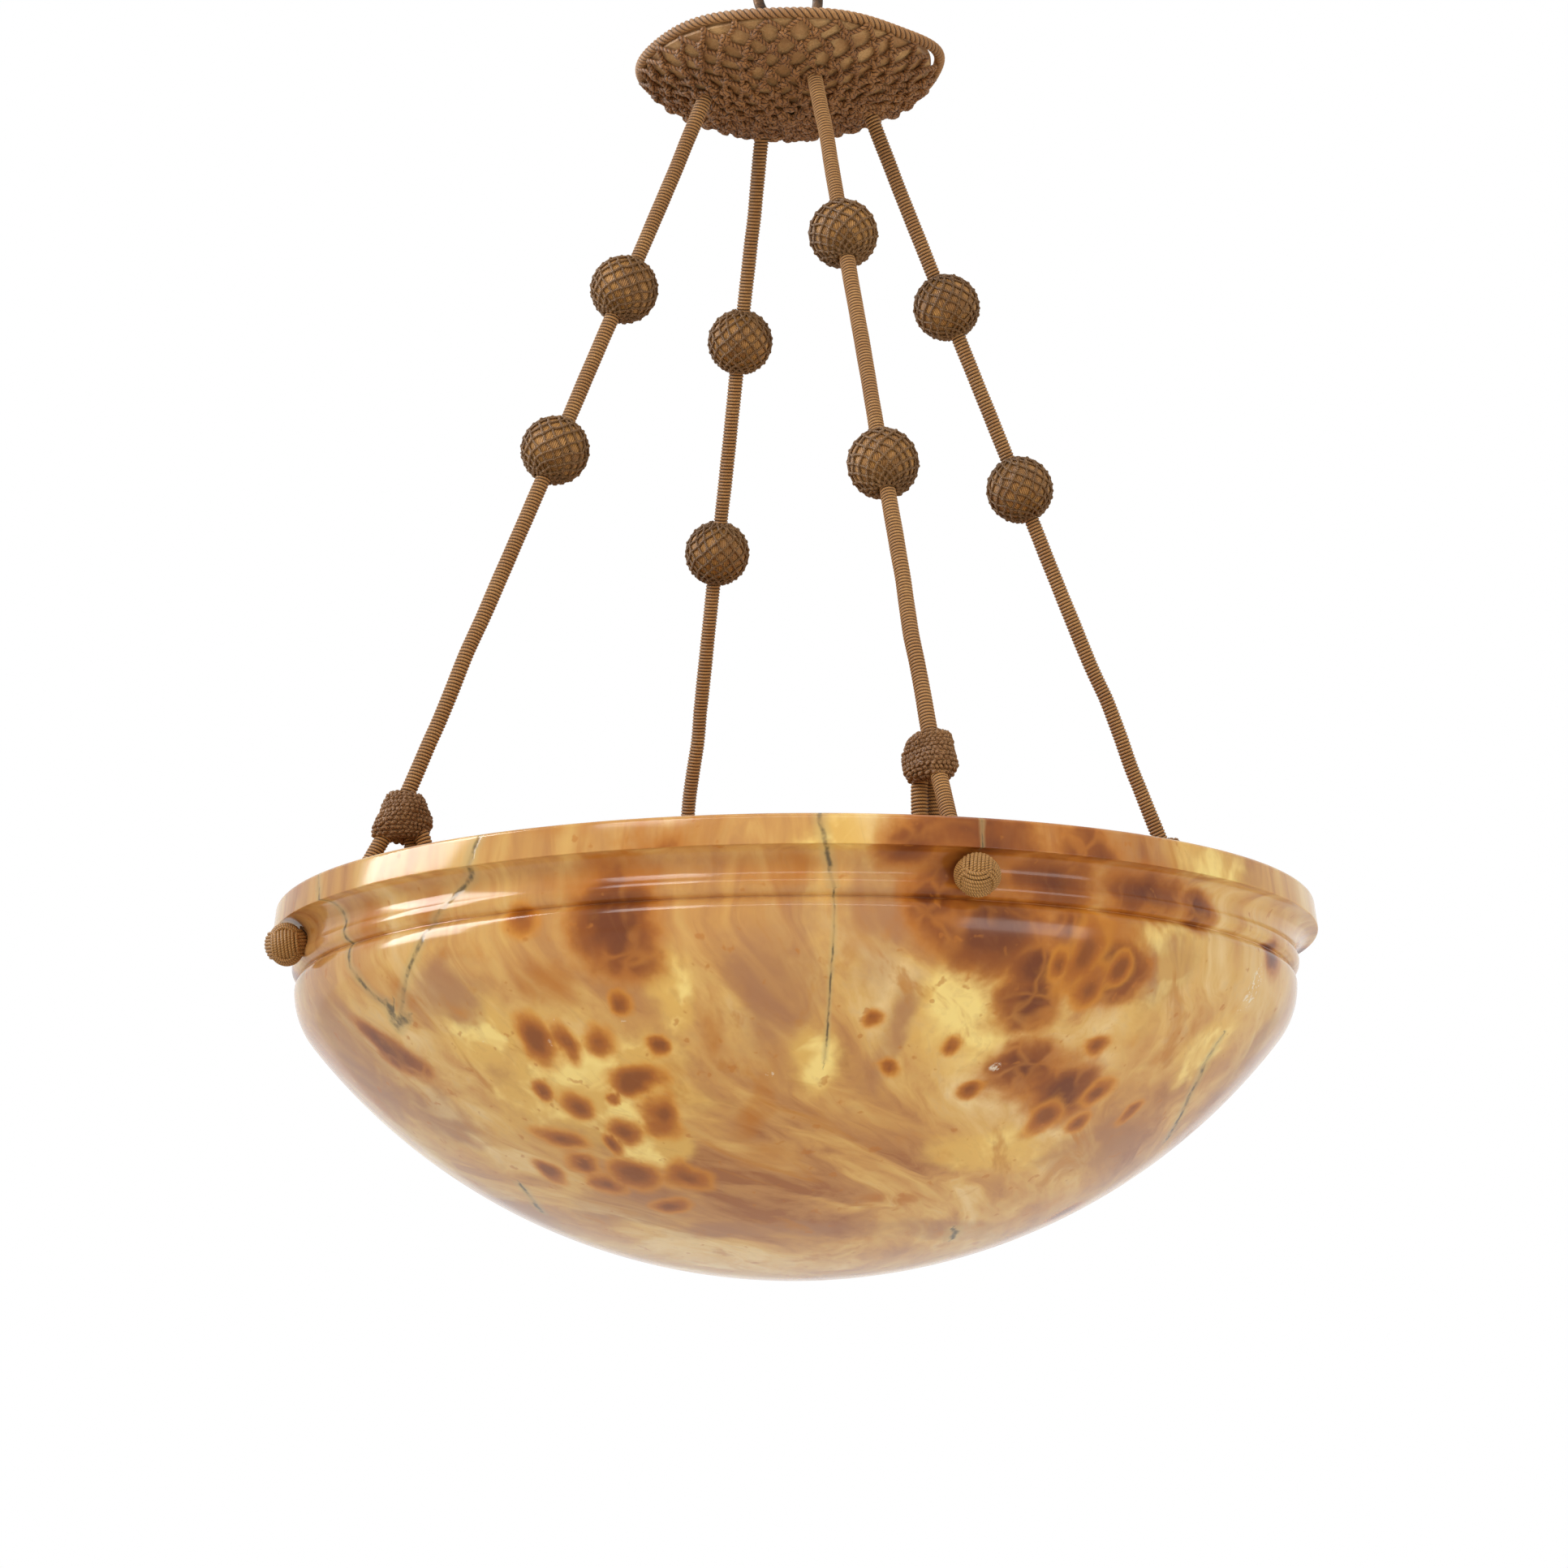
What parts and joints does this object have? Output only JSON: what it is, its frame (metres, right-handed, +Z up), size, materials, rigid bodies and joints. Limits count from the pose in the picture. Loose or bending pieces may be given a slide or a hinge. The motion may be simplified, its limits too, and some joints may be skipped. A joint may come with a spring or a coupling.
{
  "type": "bowl pendant",
  "caption": "Turned alabaster bowl pendant hung on wound ropes with netted balls from a netted canopy, with lamps inside the bowl.",
  "frame": {"origin": "top of the hanging ring's clear eye, where the ceiling hook carries it", "axes": "+Z up; the four ropes leave along -Y (front), -X (left), +Y (back) and +X (right)"},
  "size_m": [0.582, 0.582, 0.749],
  "materials": {
    "alabaster": "polished, honey with red-brown clouds",
    "dark_iron": "blackened",
    "canopy_wood": "bare, pale tan",
    "net_cord": "twisted cord",
    "rim_cord": "thick twisted cord",
    "silk_rope": "silk wound, brown gold",
    "cable_sheath": "matte sheath",
    "wrapped_wood": "wooden ball wrapped in golden yarn",
    "fine_net": "fine knotted cord",
    "crochet": "crocheted cord",
    "woven_cord": "woven cord",
    "bakelite": "black",
    "cap_brass": "satin",
    "bulb_glass": "frosted"
  },
  "bodies": {
    "hook_ring": {"hanging_ring": "dark_iron"},
    "pendant": {"eye_bolt": "dark_iron", "eye_bolt_washer": "dark_iron", "eye_bolt_nut": "dark_iron", "canopy_dish": "canopy_wood", "canopy_net": "net_cord", "canopy_rim_cord": "rim_cord", "rope_stop_knots": "silk_rope", "supply_cables": "cable_sheath", "bowl": "alabaster", "front_rope": "silk_rope", "front_collar": "crochet", "front_toggle_leg": "silk_rope", "front_knob": "woven_cord", "left_rope": "silk_rope", "left_collar": "crochet", "left_toggle_leg": "silk_rope", "left_knob": "woven_cord", "back_rope": "silk_rope", "back_collar": "crochet", "back_toggle_leg": "silk_rope", "back_knob": "woven_cord", "right_rope": "silk_rope", "right_collar": "crochet", "right_toggle_leg": "silk_rope", "right_knob": "woven_cord"},
    "front_upper_ball": {"front_upper_ball": "wrapped_wood", "front_upper_ball_net": "fine_net"},
    "front_lower_ball": {"front_lower_ball": "wrapped_wood", "front_lower_ball_net": "fine_net"},
    "left_upper_ball": {"left_upper_ball": "wrapped_wood", "left_upper_ball_net": "fine_net"},
    "left_lower_ball": {"left_lower_ball": "wrapped_wood", "left_lower_ball_net": "fine_net"},
    "back_upper_ball": {"back_upper_ball": "wrapped_wood", "back_upper_ball_net": "fine_net"},
    "back_lower_ball": {"back_lower_ball": "wrapped_wood", "back_lower_ball_net": "fine_net"},
    "right_upper_ball": {"right_upper_ball": "wrapped_wood", "right_upper_ball_net": "fine_net"},
    "right_lower_ball": {"right_lower_ball": "wrapped_wood", "right_lower_ball_net": "fine_net"},
    "front_lamp": {"front_lamp_cords": "silk_rope", "front_lampholder": "bakelite"},
    "front_bulb": {"front_bulb_cap": "cap_brass", "front_bulb_glass": "bulb_glass"},
    "left_lamp": {"left_lamp_cords": "silk_rope", "left_lampholder": "bakelite"},
    "left_bulb": {"left_bulb_cap": "cap_brass", "left_bulb_glass": "bulb_glass"},
    "back_lamp": {"back_lamp_cords": "silk_rope", "back_lampholder": "bakelite"},
    "back_bulb": {"back_bulb_cap": "cap_brass", "back_bulb_glass": "bulb_glass"},
    "right_lamp": {"right_lamp_cords": "silk_rope", "right_lampholder": "bakelite"},
    "right_bulb": {"right_bulb_cap": "cap_brass", "right_bulb_glass": "bulb_glass"}
  },
  "joints": [
    {"name": "pendant_swing", "type": "hinge", "parent": "hook_ring", "child": "pendant", "pos_m": [0, 0, -0.033], "axis": [1, 0, 0], "range_deg": [-10, 10]},
    {"name": "front_upper_ball_slide", "type": "slide", "parent": "pendant", "child": "front_upper_ball", "axis": [0, 0.3775, 0.926], "range_m": [-0.03, 0.03]},
    {"name": "front_lower_ball_slide", "type": "slide", "parent": "pendant", "child": "front_lower_ball", "axis": [0, 0.3775, 0.926], "range_m": [-0.03, 0.03]},
    {"name": "left_upper_ball_slide", "type": "slide", "parent": "pendant", "child": "left_upper_ball", "axis": [0.3775, 0, 0.926], "range_m": [-0.03, 0.03]},
    {"name": "left_lower_ball_slide", "type": "slide", "parent": "pendant", "child": "left_lower_ball", "axis": [0.3775, 0, 0.926], "range_m": [-0.03, 0.03]},
    {"name": "back_upper_ball_slide", "type": "slide", "parent": "pendant", "child": "back_upper_ball", "axis": [0, -0.3775, 0.926], "range_m": [-0.03, 0.03]},
    {"name": "back_lower_ball_slide", "type": "slide", "parent": "pendant", "child": "back_lower_ball", "axis": [0, -0.3775, 0.926], "range_m": [-0.03, 0.03]},
    {"name": "right_upper_ball_slide", "type": "slide", "parent": "pendant", "child": "right_upper_ball", "axis": [-0.3775, 0, 0.926], "range_m": [-0.03, 0.03]},
    {"name": "right_lower_ball_slide", "type": "slide", "parent": "pendant", "child": "right_lower_ball", "axis": [-0.3775, 0, 0.926], "range_m": [-0.03, 0.03]},
    {"name": "front_lamp_swing", "type": "hinge", "parent": "pendant", "child": "front_lamp", "pos_m": [0, -0.2095, -0.5207], "axis": [1, 0, 0], "range_deg": [-6, 20]},
    {"name": "front_bulb_out", "type": "slide", "parent": "front_lamp", "child": "front_bulb", "axis": [0, 0, -1], "range_m": [0, 0.013]},
    {"name": "left_lamp_swing", "type": "hinge", "parent": "pendant", "child": "left_lamp", "pos_m": [-0.2095, 0, -0.5207], "axis": [0, -1, 0], "range_deg": [-6, 20]},
    {"name": "left_bulb_out", "type": "slide", "parent": "left_lamp", "child": "left_bulb", "axis": [0, 0, -1], "range_m": [0, 0.013]},
    {"name": "back_lamp_swing", "type": "hinge", "parent": "pendant", "child": "back_lamp", "pos_m": [0, 0.2095, -0.5207], "axis": [-1, 0, 0], "range_deg": [-6, 20]},
    {"name": "back_bulb_out", "type": "slide", "parent": "back_lamp", "child": "back_bulb", "axis": [0, 0, -1], "range_m": [0, 0.013]},
    {"name": "right_lamp_swing", "type": "hinge", "parent": "pendant", "child": "right_lamp", "pos_m": [0.2095, 0, -0.5207], "axis": [0, 1, 0], "range_deg": [-6, 20]},
    {"name": "right_bulb_out", "type": "slide", "parent": "right_lamp", "child": "right_bulb", "axis": [0, 0, -1], "range_m": [0, 0.013]}
  ]
}
